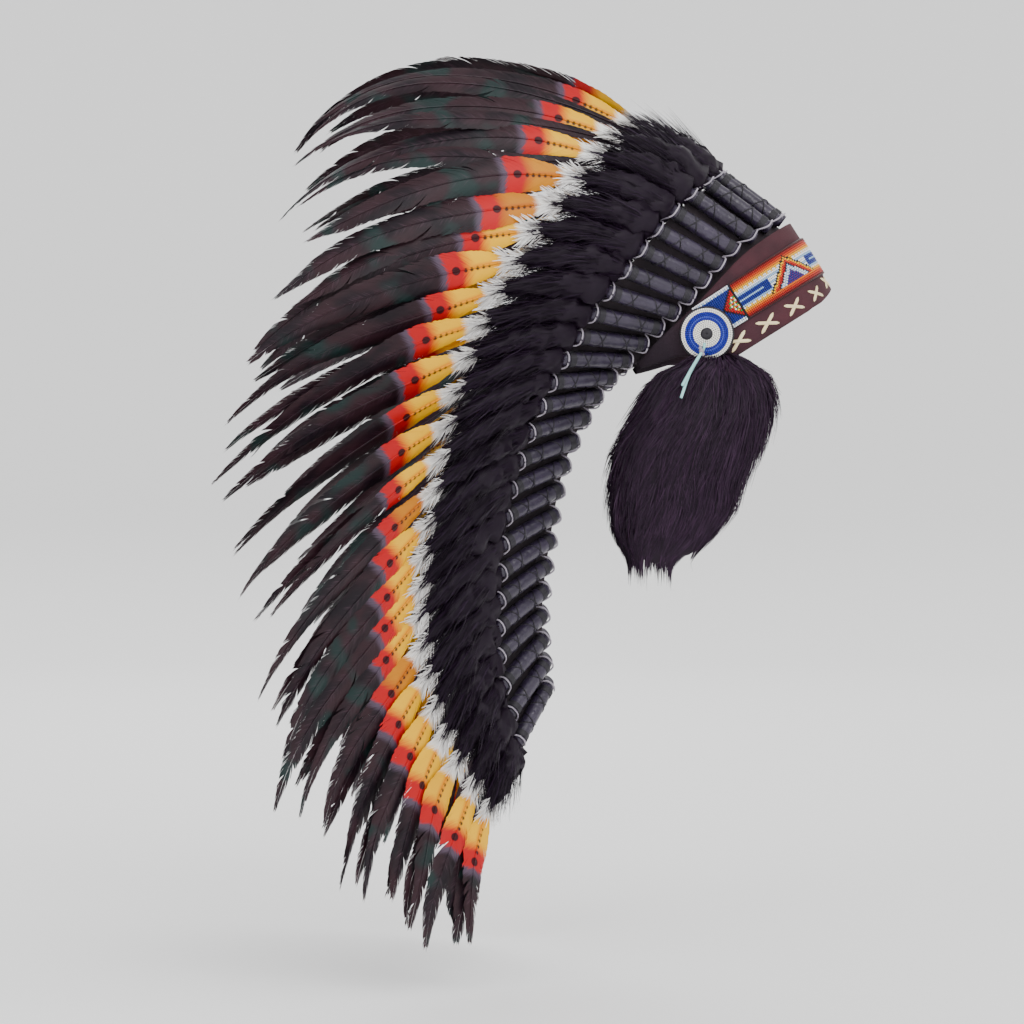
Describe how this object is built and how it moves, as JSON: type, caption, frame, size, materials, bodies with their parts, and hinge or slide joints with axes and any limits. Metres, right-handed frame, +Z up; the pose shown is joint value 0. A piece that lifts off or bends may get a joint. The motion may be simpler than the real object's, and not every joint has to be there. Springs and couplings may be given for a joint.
{
  "type": "feathered headdress",
  "caption": "Feathered headdress with a beaded brow band, rosettes, side fur drops and a short trail of layered plumes.",
  "frame": {"origin": "middle of the head ring, where the headdress sits on the wearer's head", "axes": "+Z up when worn, -Y the way the wearer faces, +X the wearer's left"},
  "size_m": [0.4596, 0.5097, 0.7091],
  "materials": {
    "suede": "matt reddish brown suede",
    "backing": "matt black cloth",
    "beads": "glossy opaque seed beads",
    "rosette": "glossy opaque seed beads",
    "lace": "soft dyed leather lace",
    "fur": "long soft fur",
    "feathers": "dyed feathers with leather-wrapped stems"
  },
  "bodies": {
    "root": {"headband": "suede", "feather_strip": "backing", "beaded_band": "beads", "rosette_l": "rosette", "rosette_r": "rosette", "tie_l": "lace", "tie_r": "lace", "fur_drop_l": "fur", "fur_drop_r": "fur", "plume_c": "feathers", "plume_l01": "feathers", "plume_r01": "feathers", "plume_l02": "feathers", "plume_r02": "feathers", "plume_l03": "feathers", "plume_r03": "feathers", "plume_l04": "feathers", "plume_r04": "feathers", "plume_l05": "feathers", "plume_r05": "feathers", "plume_l06": "feathers", "plume_r06": "feathers", "plume_l07": "feathers", "plume_r07": "feathers", "plume_l08": "feathers", "plume_r08": "feathers", "plume_l09": "feathers", "plume_r09": "feathers", "plume_l10": "feathers", "plume_r10": "feathers", "plume_l11": "feathers", "plume_r11": "feathers", "plume_l12": "feathers", "plume_r12": "feathers", "plume_l13": "feathers", "plume_r13": "feathers", "plume_l14": "feathers", "plume_r14": "feathers", "plume_l15": "feathers", "plume_r15": "feathers", "plume_l16": "feathers", "plume_r16": "feathers", "plume_l17": "feathers", "plume_r17": "feathers", "plume_l18": "feathers", "plume_r18": "feathers", "plume_l19": "feathers", "plume_r19": "feathers", "plume_l20": "feathers", "plume_r20": "feathers", "plume_l21": "feathers", "plume_r21": "feathers", "plume_l22": "feathers", "plume_r22": "feathers", "plume_l23": "feathers", "plume_r23": "feathers", "plume_l24": "feathers", "plume_r24": "feathers", "plume_l25": "feathers", "plume_r25": "feathers"}
  },
  "joints": []
}
